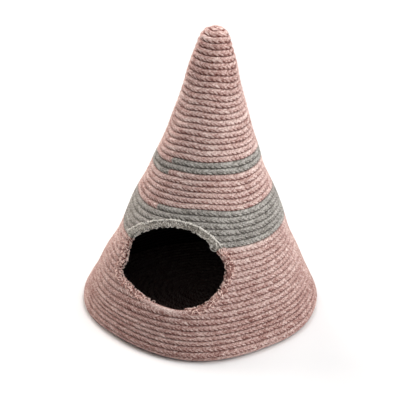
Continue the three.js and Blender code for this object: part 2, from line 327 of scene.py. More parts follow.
def braided_cotton(name, tones, sheen):
    """Heathered cotton: a ramp over dark, middle and light tones. The place on the ramp is the dye,
    which also carries painted shade and painted light, plus shares of the strand's height, which paints
    shade in its gaps, flecks, fibres and blotches, set so that their means give the middle tone.
    Patterns are stretched along v, which follows a rope's strands and a yarn's length. The inside
    attribute mixes in the painted shade of the den's interior."""
    material = bpy.data.materials.new(name)
    material.use_nodes = True
    tree = material.node_tree
    tree.nodes.clear()
    uv = node(tree, "UVMap", {}, uv_map="strands").outputs["UV"]
    place = node(tree, "TexCoord", {}).outputs["Object"]
    fibres = noise(tree, uv, FIBRES, 2.0)
    flecks = noise(tree, uv, FLECKS, 3.0)
    blotches = noise(tree, place, BLOTCHES, 2.0)
    strand, dye, inside = (
        node(tree, "Attribute", {}, attribute_name=label).outputs["Fac"]
        for label in ("strand", "dye", "inside")
    )

    tone = node(tree, "Math", {0: dye, 1: 0.5 - sum(SHARES) / 2}, operation="ADD").outputs[0]
    for source, share in zip((strand, flecks, fibres, blotches), SHARES):
        tone = node(tree, "Math", {0: source, 1: share, 2: tone}, operation="MULTIPLY_ADD").outputs[0]

    ramp = node(tree, "ValToRGB", {"Fac": tone})
    ramp.color_ramp.elements.new(TONE_PLACES[1])
    for element, tone_place, colour in zip(ramp.color_ramp.elements, TONE_PLACES, tones):
        element.position = tone_place
        element.color = linear(colour)
    # painted shade: the inside attribute mixes the tone towards the near black of the den's interior
    # a Mix node's two colours are sockets 6 and 7, and output 2 is their mix
    shade = node(tree, "Mix", {0: inside, 6: ramp.outputs["Color"], 7: linear(INTERIOR_PAINTED_SHADE)}, data_type="RGBA")
    bump = node(tree, "Bump", {"Height": fibres, "Strength": 0.6, "Distance": FIBRE_RELIEF * MM})
    shader = node(tree, "BsdfPrincipled", {
        "Base Color": shade.outputs[2], "Normal": bump.outputs[0], "Roughness": 0.95,
        "Specular IOR Level": 0.2, "Sheen Weight": sheen, "Sheen Roughness": 0.6,
        "Sheen Tint": linear(tones[2]),
    })
    node(tree, "OutputMaterial", {"Surface": shader.outputs[0]})
    return material


# tightly braided rope: a dull, grainy heather with painted shade in its gaps, and a faint bloom
# towards its rim
pink_rope = braided_cotton("braided_cotton_dusty_pink", ("#642c24", "#b08c84", "#ead6cf"), 0.15)
grey_rope = braided_cotton("braided_cotton_warm_grey", ("#423e39", "#807b75", "#c5c1bb"), 0.15)
# loosely spun yarn: softer and paler than the rope, with more bloom, so that its loops look fluffy
pink_yarn = braided_cotton("spun_cotton_dusty_pink", ("#6e3129", "#c8998e", "#f8ddd3"), 0.25)
grey_yarn = braided_cotton("spun_cotton_warm_grey", ("#3f3a34", "#a39d93", "#f0ece5"), 0.25)
print("finishes:", ", ".join(m.name for m in (pink_rope, grey_rope, pink_yarn, grey_yarn)))

# %% [markdown]
# ## Skins over rings
#
# Rope, yarn loops and stray fibres are all tubes: rings of points under a skin. A curve with a bevel
# would give tubes too, but its faces wouldn't carry which strand they belong to. So one function
# joins linked rings, closes free ends with fans of triangles, and carries values and UV along.

# %% Ring skins


def ring_faces(linked, sides):
    """Quads from each ring to the next where the two are linked, and a fan at each end of a run. The
    fans' hubs come after the rings' points: first those of the starts, then of the ends."""
    joined = np.flatnonzero(linked)
    starts = np.flatnonzero(~np.append(False, linked))
    ends = np.flatnonzero(~np.append(linked, False))
    column, after = np.arange(sides), np.roll(np.arange(sides), -1)
    here = joined[:, None] * sides
    quads = np.stack([here + column, here + after, here + sides + after, here + sides + column], axis=-1)
    hubs = (len(linked) + 1) * sides + np.arange(2 * len(starts)).reshape(2, -1, 1)
    front, rear = starts[:, None] * sides, ends[:, None] * sides
    opening = np.stack(np.broadcast_arrays(hubs[0], front + after, front + column), axis=-1)
    closing = np.stack(np.broadcast_arrays(hubs[1], rear + column, rear + after), axis=-1)
    fans = np.concatenate([opening, closing]).reshape(-1, 3)
    return joined, np.concatenate([starts, ends]), quads.reshape(-1, 4), fans


def swept_piece(name, rings, linked, finish, values, u, v):
    """Piece from rings of points, with values for each point and UV in millimetres for each ring and
    each seam between two sides. A hub takes the mean of its ring."""
    count, sides = rings.shape[:2]
    joined, tips, quads, fans = ring_faces(linked, sides)
    points = np.concatenate([rings.reshape(-1, 3), rings[tips].mean(axis=1)])
    spread = {}
    for label, numbers in values.items():
        grid = np.broadcast_to(numbers, (count, sides))
        spread[label] = np.concatenate([grid.ravel(), grid[tips].mean(axis=1)])
    corners = []
    for numbers in (u, v):
        grid = np.broadcast_to(numbers, (count, sides + 1))
        here, following = grid[joined], grid[joined + 1]
        edges = here[:, :-1], here[:, 1:], following[:, 1:], following[:, :-1]
        corners.append(np.stack(edges, axis=-1))
    return add_piece(name, points, quads, fans, finish, spread, np.stack(corners, axis=-1))


print("two rings of six:", len(ring_faces(np.array([True]), 6)[3]), "triangles as ends")

# %% [markdown]
# ## One braided rope
#
# A round braid looks like two rows of slanting lobes that meet in a herringbone along the rope's
# crest. Bump on a smooth tube could draw them, but from a step away they catch the light, so they are
# in the mesh. A sheared grid keeps it light: each ring of points runs along the strands, forward from
# the crest to both sides, so that a lobe needs only four rings.

# %% Rope in section
ROPE_DEPTH = 10.0
ROPE_OVERLAP = 1.07  # neighbouring rows press into each other
OUTER_FACETS, INNER_FACETS = 8, 4
rng = np.random.default_rng(54)


def signed_power(value, power):
    """A power that keeps the sign."""
    return np.sign(value) * np.abs(value) ** power


def rope_section(squareness):
    """Rope in section, backwards so that faces point out, with more facets outside than inside. Gives
    each point's share across the row, its depth and its angle: the first goes as a power of the
    angle's cosine, the second as one of its sine."""
    inner = np.linspace(2 * np.pi, np.pi, INNER_FACETS + 1)[1:-1]
    angle = np.concatenate([inner, np.linspace(np.pi, 0, OUTER_FACETS + 1)])
    across = 0.5 * ROPE_OVERLAP * signed_power(np.cos(angle), 2 / squareness)
    depth = ROPE_DEPTH / 2 * (1 - signed_power(np.sin(angle), 2 / squareness))
    return across, depth, angle


print("rope", ROPE_DEPTH, "mm thick,", len(rope_section(2.0)[2]), "points round it")

# %% [markdown]
# ## Strands of the braid
#
# Each strand comes up at the side, crosses to the crest and dives under the one from the other side,
# so one half's lobes stand where the other half has its gaps. No two strands are dyed quite alike. A
# texture can't tell where a strand ends, so its dye is a value of the mesh's points.

# %% Strands
BRAID_STEP = 7.4
RINGS_PER_LOBE = 4
RING_STEP = BRAID_STEP / RINGS_PER_LOBE
LOBE_FULLNESS = 0.6
PARTED = 1.6, 0.4  # strands stand apart more on a row's lower half than on its upper half
CREST_WIDTH = 0.3  # cosine of the section's angle up to which the halves merge
STRAND_DYES = 0.07  # how far the strands' own dyes lie apart
ROW_TOP_PAINTED_LIGHT = 0.12  # painted light: the rows' upper sides are paler and their lower sides darker, as if lit from above
GROOVE_DEPTHS, GROOVE_PAINTED_SHADE = (1.8, 4.0), -0.3  # painted shade: the tone is darker where rows press together
DYE_WAVES = [  # length, phase and size
    (rng.uniform(60, 900), rng.uniform(0, 2 * np.pi), rng.uniform(0.004, 0.012)) for _ in range(9)
]


def upper_half(angle):
    """1 on a row's upper half, and 0 on its lower half, where the angle's cosine is positive."""
    return np.where(np.cos(angle) > 0, 0.0, 1.0)


def strand_lobes(ring, angle):
    """How high the strands stand, 0 in a gap: a sine without its sign to the power of the fullness,
    half a lobe later in the upper half. Towards the crest, where the halves meet, it fades to its
    mean by a bell curve of the angle's cosine, and to the sides by the root of the angle's sine."""
    half = upper_half(angle)
    off_crest = 1.0 - np.exp(-((np.cos(angle) / CREST_WIDTH) ** 2))
    parted = np.where(half > 0, PARTED[1], PARTED[0]) * off_crest
    level = np.abs(np.sin(np.pi * (ring / RINGS_PER_LOBE + half / 2))) ** LOBE_FULLNESS
    mean = level.mean()
    return (mean + (level - mean) * parted) * np.sqrt(np.maximum(np.sin(angle), 0.0))


def strand_dye_and_painted_light(ring, along, angle, depth):
    """Each strand's own dye, plus a sum of nine sines that drifts along the rope, darkened by painted
    shade in the grooves by an eased step, and with painted light by the angle's cosine: paler towards
    the row's upper side, darker towards its lower side."""
    half = upper_half(angle).astype(int)
    own = rng.normal(0.0, STRAND_DYES, (2, ring.max() // RINGS_PER_LOBE + 2))
    dye = own[half, (ring + half * RINGS_PER_LOBE // 2) // RINGS_PER_LOBE]
    dye = dye + sum(size * np.sin(2 * np.pi * along / wave + phase) for wave, phase, size in DYE_WAVES)
    return dye + GROOVE_PAINTED_SHADE * eased(between(depth, *GROOVE_DEPTHS)) - ROW_TOP_PAINTED_LIGHT * np.cos(angle)


print("rings of points", RING_STEP, "mm apart")

# %% Braid along the rope
STRAND_SLANT = 6.5
LOBE_HEIGHT = 1.7
SLACK, SLACK_RINGS = 0.9, 7  # how far the lobes wander along the rope, and over how many rings
PAINTED_SHADE_DEPTHS = 5.5, 9.0  # painted shade: from where to where the rope darkens towards its deep face, inside the den


def braided_rope(name, length, place, finish, squareness=2.2, gone=None, tint=None, painted_shade_face=1.0):
    """Rope of a length laid by place(along, across, depth). Ring k stands k steps along, give or take
    the slack, and its points are set back by the slant times one less the size of their angle's
    cosine, so most at the crest. Rings that gone() marks are left out, and tint() is added to the
    dye. Painted shade, of the painted_shade_face strength, darkens the deep face, or the outer one
    if that strength is below zero."""
    across, depth, angle = rope_section(squareness)
    ring = np.arange(int((length + STRAND_SLANT) / RING_STEP) + 1)
    if gone is not None:
        ring = ring[~gone(ring * RING_STEP)]
    linked = np.diff(ring) == 1
    ring = ring[:, None]

    knots = np.arange(0, ring.max() + 2 * SLACK_RINGS, SLACK_RINGS)
    slack = np.interp(ring, knots, rng.normal(0.0, SLACK, len(knots)))
    set_back = STRAND_SLANT * (1.0 - np.abs(np.cos(angle)))
    along = np.clip(ring * RING_STEP + slack - set_back, 0.0, length)
    lobe = strand_lobes(ring, angle)
    rings = place(along, across[None, :], depth - LOBE_HEIGHT * lobe)

    # the dye value also carries painted shade in the grooves and painted light on the rows' upper sides
    dye = strand_dye_and_painted_light(ring, along, angle, depth)
    # painted shade: the inside value darkens the face that lies inside the den
    deep = eased(between(depth, *PAINTED_SHADE_DEPTHS))
    values = {
        "strand": lobe,
        "dye": dye if tint is None else dye + tint(along),
        "inside": deep * painted_shade_face if painted_shade_face > 0 else (deep - 1.0) * painted_shade_face,
    }
    girth = ROPE_DEPTH / 2 * np.append(angle, angle[0] - 2 * np.pi)
    return swept_piece(name, rings, linked, finish, values, ring * RING_STEP, girth)


print("lobes wander by about", SLACK, "mm")

# %% [markdown]
# ## The doorway's outline
#
# Seen from the front, the doorway is an oval, a little square and wavy, with a blunt corner at its
# lower left. A boolean would slice the strands open, so the rope stops at the outline, and the yarn
# runs round it. One function says if a place is inside it, and one where a turn of it lies.

# %% Doorway
DOOR_X, DOOR_Z = -1.5, 119.0
DOOR_HALF_WIDTH, DOOR_RISE, DOOR_DROP = 91.0, 67.0, 46.0
DOOR_SQUARENESS = 2.13
DOOR_WAVES = [(3, -0.039, 0.52), (5, 0.023, 0.73)]  # how many, size, phase
CORNER_SIZE, CORNER_TURN, CORNER_HALF_WIDTH = 0.145, 208.5, 22.5
EDGE_WIDTH, EDGE_TOP_EXTRA = 10.0, 2.0
EDGE_MIDDLE = 0.5
EDGE_TABLE = 600
ABOVE_DOOR_ROW = 20.0
PLACE_ROUNDS, PLACE_HALVINGS = 6, 18


def door_half_sizes(turn, widen):
    """Half width and half height of the outline at a turn, widened by a share of the edge's width."""
    wave = 1.0 + sum(size * np.sin(count * turn + phase) for count, size, phase in DOOR_WAVES)
    wave = wave + CORNER_SIZE * swelling(np.degrees(turn), CORNER_TURN, CORNER_HALF_WIDTH)
    wider = widen * (EDGE_WIDTH + EDGE_TOP_EXTRA * np.maximum(0.0, np.sin(turn)))
    tall = np.where(np.sin(turn) > 0, DOOR_RISE, DOOR_DROP)
    return DOOR_HALF_WIDTH * wave + wider, tall * wave + wider


def in_doorway(points, widen):
    """True where a point of the front wall lies inside the widened outline: the sum of its two
    distances over the half sizes, each to the power of the squareness, is under 1."""
    x, z = points[..., 0] - DOOR_X, points[..., 2] - DOOR_Z
    tall = np.where(z > 0, DOOR_RISE, DOOR_DROP)
    lift = signed_power(z / tall, DOOR_SQUARENESS / 2)
    turn = np.arctan2(lift, signed_power(x / DOOR_HALF_WIDTH, DOOR_SQUARENESS / 2))
    half, high = door_half_sizes(turn, widen)
    size = np.abs(x / half) ** DOOR_SQUARENESS + np.abs(z / high) ** DOOR_SQUARENESS
    return (size < 1.0) & (points[..., 1] < 0.0)


def door_place(turn, widen):
    """Row and azimuth of the wall where the outline's turn lies: halving for the row at its height,
    and the arcsine of its offset over the radius for the azimuth, in turn until they settle."""
    half, high = door_half_sizes(turn, widen)
    x = DOOR_X + half * signed_power(np.cos(turn), 2 / DOOR_SQUARENESS)
    z = DOOR_Z + high * signed_power(np.sin(turn), 2 / DOOR_SQUARENESS)
    azimuth = np.zeros_like(x)
    axis = leaning(np.zeros_like(z), azimuth, z)[..., 0]
    for _ in range(PLACE_ROUNDS):
        low, high_row = np.full_like(z, ABOVE_DOOR_ROW), np.full_like(z, FLOOR_ROW)
        for _ in range(PLACE_HALVINGS):
            row = (low + high_row) / 2
            above = crest(row, azimuth)[1] > z
            low, high_row = np.where(above, row, low), np.where(above, high_row, row)
        azimuth = np.degrees(np.arcsin(np.clip((x - axis) / crest(row, azimuth)[0], -1.0, 1.0)))
    return row, azimuth


def edge_point(turn, across, height):
    """Point over the doorway's edge: across is 0 at the opening and 1 where the wall starts, and
    height is above the rope's crests."""
    turn, across, height = np.broadcast_arrays(turn, across, height)
    row, azimuth = door_place(turn, across)
    return wall_point(row, azimuth, -height)


rim = edge_point(np.linspace(0, 2 * np.pi, EDGE_TABLE), 0.0, 0.0)
print("doorway", np.round(np.ptp(rim, axis=0)).tolist(), "mm")

# %% [markdown]
# ## The wound wall
#
# The rope climbs one row for each turn, so a place along it is a turn and a row at once. Stacked
# rings would be plainer, but then no band would step down a row at the seam, left of the doorway's
# middle. Each coloured length is one piece, and the long lower one two, to keep the meshes handy.
# Slow ripples keep the coil from looking machined. The lower rows are darker, and so are the first
# turns at the tip.

# %% Rope on the wall
RIPPLES = [  # waves round, radians a row, phase
    (rng.integers(1, 9), rng.uniform(0.15, 0.9), rng.uniform(0, 2 * np.pi)) for _ in range(8)
]
RIPPLE_ROWS, RIPPLE_DEPTH = 0.018, 0.28
TIP_ROWS, TIP_RELIEF = (0.0, 2.5), 0.3  # the first turns are rubbed smooth
FOOT_ROWS, FOOT_DEPTH = (53.0, 54.2), 5.0  # the last row is round underneath
DEEP_ROWS, DEEPER = (36.0, 50.0), -0.11
TIP_DARK_ROWS, TIP_DARKER = (2.0, 12.0), -0.09
TABLE_STEPS = 60  # a row
LEAST_RADIUS = 3.0  # no coil is wound tighter


def coil_lengths(radius, turns):
    """Length of a coil up to each turn: the sum of its steps, each two pi times the mean of the radii
    at its ends times the turns between."""
    stretch = np.pi * (radius[1:] + radius[:-1]) * np.diff(turns)
    return np.append(0.0, np.cumsum(stretch))


def ripple(row, azimuth, shift):
    """Sum of eight sines, each a whole number of waves round and some waves down the wall."""
    turn = np.radians(azimuth)
    return sum(np.sin(count * turn + slope * row + phase + shift) for count, slope, phase in RIPPLES)


def azimuth_at(row):
    """Azimuth of the rope's middle at a row: a turn for each row, from half a row on."""
    return 360.0 * (row - 0.5)


def wall_rope(name, first, last, finish, squareness):
    """Rope wound from one row to another, a turn for each row. A table of the coil's own length turns
    a place along it into a row."""
    table_row = np.linspace(first, last, int((last - first) * TABLE_STEPS) + 1)
    radius = np.maximum(crest(table_row, azimuth_at(table_row))[0] - ROPE_DEPTH / 2, LEAST_RADIUS)
    table_length = coil_lengths(radius, table_row)

    def middle(along):
        return np.interp(along, table_length, table_row)

    def place(along, across, depth):
        azimuth = azimuth_at(middle(along))
        row = np.maximum(middle(along) + across, TIP_ROW)
        shift, sink = ripple(row, azimuth, 0.0), ripple(row, azimuth, 1.0)
        relief = TIP_RELIEF + (1.0 - TIP_RELIEF) * eased(between(row, *TIP_ROWS))
        sink = RIPPLE_DEPTH * sink + FOOT_DEPTH * between(row, *FOOT_ROWS) ** 2
        return wall_point(row + RIPPLE_ROWS * shift, azimuth, relief * depth + sink)

    def gone(along):
        return in_doorway(place(along, 0.0, 0.0), EDGE_MIDDLE)

    def tint(along):
        deeper = DEEPER * between(middle(along), *DEEP_ROWS)
        return deeper + TIP_DARKER * (1.0 - between(middle(along), *TIP_DARK_ROWS))

    return braided_rope(name, table_length[-1], place, finish, squareness, gone, tint)


print("the lowest row takes", round(2 * np.pi * SECTIONS[-1, 1] * MM, 2), "m of rope")

# %% Lengths of the wall
SEAM = -24.0  # azimuth where the rope changes colour
SPLIT_ROW = 45.5  # where the lower pink rope becomes the foot
LAST_ROW = 54.4


def seam(groove):
    """Row of the rope's middle at the seam, just below a groove that is counted at the front: half a
    row more than the groove's, and the seam's share of a turn."""
    return groove + 0.5 + SEAM / 360.0


WALL_ROPES = [
    # piece, node, first row, last row, finish, slot, squareness
    ("rope_pink_top", "wall_pink_top", TIP_ROW - 0.5, seam(21), pink_rope, "rope_pink", 2.0),
    ("rope_grey_narrow", "wall_grey_narrow", seam(21), seam(23), grey_rope, "rope_grey", 2.1),
    ("rope_pink_middle", "wall_pink_middle", seam(23), seam(29), pink_rope, "rope_pink", 2.1),
    ("rope_grey_wide", "wall_grey_wide", seam(29), seam(35), grey_rope, "rope_grey", 2.3),
    ("rope_pink_lower", "wall_pink_lower", seam(35), SPLIT_ROW, pink_rope, "rope_pink", 2.4),
    ("rope_pink_foot", "wall_pink_lower", SPLIT_ROW, LAST_ROW, pink_rope, "rope_pink", 2.3),
]
for piece, solid, first, last, finish, slot, squareness in WALL_ROPES:
    made = wall_rope(piece, first, last, finish, squareness)
    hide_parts(solid)

# %% [markdown]
# ## The coiled floor
#
# The floor is the same rope, laid as a flat spiral inside the lowest row, with its braid, since it is
# seen from below. Rings would be plainer, but a real coil has only two ends. Its upper side lies deep
# in the den, so painted shade darkens it.

# %% Floor spiral
FLOOR_TURNS, FLOOR_TABLE = 17.5, 1200
FLOOR_RIM_DEPTH = 11.2
FLOOR_TOP = 9.6
# how far painted shade darkens the floor's upper face
FLOOR_SHADE = 0.7


def floor_rope():
    """Rope on a spiral: at a turn, the radius is the wall's inner radius less an equal share of it
    for each turn gone. It starts a turn early and ends at the middle, held inside the rim, so that
    it tapers at both ends and leaves no gap."""

    def rim_radius(turn):
        return crest(FLOOR_ROW, 360.0 * turn)[0] - FLOOR_RIM_DEPTH

    def place(along, across, depth):
        turn = np.interp(along, table_length, table_turn)
        share = np.clip(1.0 - (turn + 0.5 - across) / FLOOR_TURNS, 0.0, 1.0)
        return leaning(rim_radius(turn) * share, 360.0 * turn, np.maximum(FLOOR_TOP - depth, 0.0))

    table_turn = np.linspace(-1.0, FLOOR_TURNS, FLOOR_TABLE)
    radius = np.maximum(rim_radius(table_turn) * (1 - table_turn / FLOOR_TURNS), LEAST_RADIUS)
    table_length = coil_lengths(radius, table_turn)
    return braided_rope("floor_coil", table_length[-1], place, pink_rope, painted_shade_face=-FLOOR_SHADE)


floor_coil = floor_rope()
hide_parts("floor")

# %% [markdown]
# ## Tubes of yarn
#
# Loops and stray fibres are thin tubes along short paths. One function sweeps many at once: at each
# point of a path stands a ring square to it, turned from a side direction that comes with the path.
# Hundreds of curve objects would do it too, but one mesh for all of them is far quicker.

# %% Tube sweeper
TUBE_STRAND = 0.6  # yarn has no braid, so all of it stands this high
PATCH_STEP = 37.0  # each tube takes its own patch of the pattern


def yarn_tubes(name, paths, side, radius, sides, finish, dye):
    """Tubes along paths (count, steps, 3): each ring's points lie round the path's by the radius times
    the cosine of their angle to the side and its sine upward."""
    count, steps = paths.shape[:2]
    forward = unit(np.gradient(paths, axis=1))
    aside = unit(side - forward * np.sum(side * forward, axis=-1, keepdims=True))
    upward = np.cross(forward, aside)
    angle = np.linspace(0, 2 * np.pi, sides, endpoint=False)[:, None]
    spoke = np.cos(angle) * aside[:, :, None] + np.sin(angle) * upward[:, :, None]
    rings = (paths[:, :, None] + radius[..., None, None] * spoke).reshape(-1, sides, 3)

    stretch = np.linalg.norm(np.diff(paths, axis=1, prepend=paths[:, :1]), axis=-1)
    travel = np.cumsum(stretch, axis=1) + PATCH_STEP * np.arange(count)[:, None]
    linked = np.arange(1, count * steps) % steps > 0
    values = {"strand": TUBE_STRAND, "dye": np.repeat(dye, steps)[:, None], "inside": 0.0}
    girth = 2 * np.pi * radius.mean() / sides * np.arange(sides + 1)
    return swept_piece(name, rings, linked, finish, values, girth, travel.reshape(-1, 1))


print("each tube's pattern starts", PATCH_STEP, "mm on")

# %% [markdown]
# ## The overcast edge
#
# The cut ends of the rope would fray, so the maker binds them: a soft core along the edge, and yarn
# sewn over and over it. The yarn is grey where it crosses the grey band and pink elsewhere. Where it
# changes could be measured, but trying many turns of the outline for the one that lies nearest to the
# band's last groove is surer.

# %% Where the edge changes colour
EDGE_COLOUR_ROW = 35.0
TURNS_TRIED = 400


def colour_turn(groove, side, top):
    """Turn of the outline between its side and its top where a groove of the winding meets the edge."""
    turns = np.linspace(side, top, TURNS_TRIED)
    row, azimuth = door_place(turns, EDGE_MIDDLE)
    return turns[np.argmin(np.abs(row - azimuth / 360.0 - groove))]


right_turn = colour_turn(EDGE_COLOUR_ROW, 0.0, np.pi / 2)
left_turn = colour_turn(EDGE_COLOUR_ROW + 1, np.pi, np.pi / 2)  # a turn later, so one row lower
print("edge is grey from", np.degrees([right_turn, left_turn]).round(1).tolist(), "degrees")

# %% [markdown]
# ## The edge's core
#
# Under the yarn runs a length of rope, a little thinner. Between the loops it lies in the dark, and
# painted shade darkens it all along. On the sill, where the yarn is worn away, it shows as a bare lip,
# made pale by a painted highlight. A plain tube would be hidden nearly everywhere, but not there, so
# it is laid by the rope function, along the outline.

# %% Core of the edge
CORE_TOP = 0.8
CORE_SHARE = 0.93
CORE_PAINTED_SHADE = -0.22  # painted shade: darker all along, as where it lies between the loops
# painted light: the core is paler on the sill, whose upper side catches the light
SILL_TURN, SILL_HALF_WIDTH, SILL_PAINTED_LIGHT = 274.0, 36.0, 0.29


def edge_lengths(start, end):
    """Turns between two others, and how far along the edge each lies."""
    turns = np.linspace(start, end, EDGE_TABLE)
    steps = np.linalg.norm(np.diff(edge_point(turns, EDGE_MIDDLE, 0.0), axis=0), axis=-1)
    return turns, np.append(0.0, np.cumsum(steps))


def edge_core(name, start, end, finish):
    """Rope along the edge, across it and from its top down. Painted shade darkens it all along, and a
    painted highlight makes it paler on the sill.
    """
    turns, lengths = edge_lengths(start, end)

    def place(along, across, depth):
        turn = np.interp(along, lengths, turns)
        return edge_point(turn, EDGE_MIDDLE + CORE_SHARE * across, CORE_TOP - CORE_SHARE * depth)

    def tint(along):
        turn = np.degrees(np.interp(along, lengths, turns))
        return CORE_PAINTED_SHADE + SILL_PAINTED_LIGHT * swelling(turn, SILL_TURN, SILL_HALF_WIDTH)

    return braided_rope(name, lengths[-1], place, finish, tint=tint)


print("edge is", round(edge_lengths(0.0, 2 * np.pi)[1][-1]), "mm round")

# %% [markdown]
# ## Loops of yarn
#
# The yarn is never pulled quite tight, so its slack stands up in hundreds of small loops, each with
# its own lean, size and dye. Instances of a few loops would be lighter, but would show as copies. So
# each loop is half an ellipse on the bead of the edge, and all of them are worked out together.

# %% Loops of the edge
LOOP_SPACING = 0.6
LOOP_STEPS, LOOP_SIDES = 6, 5
LOOP_WIDTHS, LOOP_HEIGHTS, LOOP_RADII = (1.3, 2.7), (1.6, 3.6), (0.55, 0.85)
LOOP_DYE, LOOP_DYES = 0.2, 0.34  # their mean, and how far they lie apart
LOOP_ANGLES, RIM_ANGLE = (-80.0, 150.0), np.radians(15.0)  # loops on the rim are always slack
BARE_SHARES = 0.02, 0.7  # a loop is worn away where the sill swells past a chance share of these
BEAD_HEIGHT, BEAD_RADIUS = -4.4, 5.0
FOOT_LIFT, FOOT_STEP = 0.5, 0.01  # steps off and along the bead that give its directions
JAMB_TURN, JAMB_HALF_WIDTH, JAMB_PALER = 190.0, 45.0, 0.45  # the loops are paler on the left side
CLUMP_TURN, CLUMP_HALF_WIDTH, CLUMP_GROWTH = 41.0, 6.0, 1.2  # where the grey yarn is tied off


def bead_point(turn, angle, lift):
    """Point round the edge's bead, lifted off it: angle 0 faces the opening and a quarter turn out."""
    across = EDGE_MIDDLE - (EDGE_MIDDLE + lift / EDGE_WIDTH) * np.cos(angle)
    return edge_point(turn, across, BEAD_HEIGHT + (BEAD_RADIUS + lift) * np.sin(angle))


def bead_foot(turn, angle):
    """Point just under the bead, with the directions out of it and along it there."""
    foot = bead_point(turn, angle, -FOOT_LIFT)
    out = unit(bead_point(turn, angle, FOOT_LIFT) - foot)
    return foot, out, unit(bead_point(turn + FOOT_STEP, angle, -FOOT_LIFT) - foot)


def half_ellipses(foot, flat, half_width, out, height, steps):
    """Paths off the bead and back to it: the foot, plus the half width times a cosine along the flat
    direction, plus the height times a sine along the one out."""
    swing = np.linspace(0, np.pi, steps)[:, None]
    path = foot[:, None] + flat[:, None] * half_width * np.cos(swing)
    return path + out[:, None] * height * np.sin(swing)


def edge_loops(name, start, end, finish, slack):
    """Half ellipses of yarn that stand on the bead at even steps, aimed any way. They grow at the tied
    end of the yarn, and are fewer on the sill and paler on the left side, by a raised cosine each."""
    turns, lengths = edge_lengths(start, end)
    turn = np.interp(np.arange(0.0, lengths[-1], LOOP_SPACING), lengths, turns)
    worn = rng.uniform(*BARE_SHARES, len(turn))
    turn = turn[swelling(np.degrees(turn), SILL_TURN, SILL_HALF_WIDTH) <= worn]
    count = len(turn)
    angle = np.radians(rng.uniform(*LOOP_ANGLES, count))
    foot, out, along = bead_foot(turn, angle)
    aim = rng.uniform(0, np.pi, (count, 1))
    flat = np.cos(aim) * along + np.sin(aim) * np.cross(out, along)

    clump = 1.0 + CLUMP_GROWTH * swelling(np.degrees(turn), CLUMP_TURN, CLUMP_HALF_WIDTH)
    size = clump * np.where(angle < RIM_ANGLE, 1.0, slack)
    width = (size * rng.uniform(*LOOP_WIDTHS, count))[:, None, None]
    height = (size * rng.uniform(*LOOP_HEIGHTS, count))[:, None, None]
    paths = half_ellipses(foot, flat, width, out, height, LOOP_STEPS)
    radius = np.broadcast_to(rng.uniform(*LOOP_RADII, (count, 1)), paths.shape[:2])
    dye = rng.normal(LOOP_DYE, LOOP_DYES, count)
    dye = dye + JAMB_PALER * swelling(np.degrees(turn), JAMB_TURN, JAMB_HALF_WIDTH)
    return yarn_tubes(name, paths, np.cross(flat, out)[:, None], radius, LOOP_SIDES, finish, dye)


print("a loop every", LOOP_SPACING, "mm, up to", LOOP_HEIGHTS[1], "mm high")

# %% [markdown]
# ## Stitched strand and hanging curl
#
# Along the wall side of the grey edge lies one thicker strand, caught down by stitches, and at its
# right end the yarn hangs into the doorway in one slack curl. Both could be drawn by hand as curves,
# but here they follow the bead, and sums of sines make the strand rise and swell as sewn yarn does.

# %% Stitched strand and hanging curl
STRAND_ANGLE, STRAND_LIFT, STRAND_RADIUS = np.radians(115.0), 1.2, 1.5
STRAND_WOBBLES = [(43.0, 0.5), (101.0, 0.45), (17.0, 0.6)]  # waves in a whole turn, size
STRAND_SWELLS, SWELL_SIZE = (71.0, 113.0, 29.0), 0.14
STRAND_STEPS, STRAND_MARGIN, STRAND_TINT = 260, 0.03, 0.2
CURL_TURN, CURL_ANGLE = np.radians(41.0), np.radians(-15.0)
CURL_HALF_WIDTH, CURL_DROP, CURL_RADIUS = 7.0, 6.0, 0.7
CURL_STEPS, CURL_TINT = 16, 0.3
YARN_SIDES = 6


def stitched_strand(name, start, end, finish):
    """Yarn along the wall side of the bead, whose lift and radius are sums of sines of the turn."""
    turn = np.linspace(start + STRAND_MARGIN, end - STRAND_MARGIN, STRAND_STEPS)
    lift = STRAND_LIFT + sum(size * np.sin(waves * turn) for waves, size in STRAND_WOBBLES)
    path = bead_point(turn, STRAND_ANGLE, lift)
    side = bead_point(turn, STRAND_ANGLE, lift + 1.0) - path
    radius = STRAND_RADIUS * (1.0 + SWELL_SIZE * sum(np.sin(waves * turn) for waves in STRAND_SWELLS))
    return yarn_tubes(name, path[None], side[None], radius[None], YARN_SIDES, finish, [STRAND_TINT])


def hanging_curl(name, finish):
    """One slack loop that hangs into the doorway: half an ellipse along the bead."""
    foot, out, along = bead_foot(np.array([CURL_TURN]), np.array([CURL_ANGLE]))
    paths = half_ellipses(foot, along, CURL_HALF_WIDTH, out, CURL_DROP, CURL_STEPS)
    radius = np.full(paths.shape[:2], CURL_RADIUS)
    side = np.cross(along, out)[:, None]
    return yarn_tubes(name, paths, side, radius, YARN_SIDES, finish, [CURL_TINT])


print("strand", 2 * STRAND_RADIUS, "mm thick, curl", 2 * CURL_HALF_WIDTH, "mm wide")

# %% Both colours of the edge
whole_turn = right_turn + 2 * np.pi
EDGES = [
    # colour, node, from, to, the core's finish, the loops' finish, slot, slack of the loops
    ("grey", "door_edge_grey", right_turn, left_turn, grey_yarn, grey_yarn, "yarn_grey", 0.65),
    ("pink", "door_edge_pink", left_turn, whole_turn, pink_rope, pink_yarn, "yarn_pink", 1.0),
]
for colour, solid, start, end, core_finish, loop_finish, slot, slack in EDGES:
    core = edge_core("edge_core_" + colour, start, end, core_finish)
    loops = edge_loops("edge_loops_" + colour, start, end, loop_finish, slack)
    for made in (core, loops):
        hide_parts(solid)
strand = stitched_strand("edge_strand_grey", right_turn, left_turn, grey_yarn)
curl = hanging_curl("edge_curl_grey", grey_yarn)
for made in (strand, curl):
    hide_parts("door_edge_grey")

# %% [markdown]
# ## Stray fibres
#
# Cotton rope is never quite clean: short fibre ends stand off it all over, too fine to see one by
# one, but together they soften its outline. They could be a hair system, but a handful of thin bent
# tubes in a mesh is plainer, and it exports as it is.

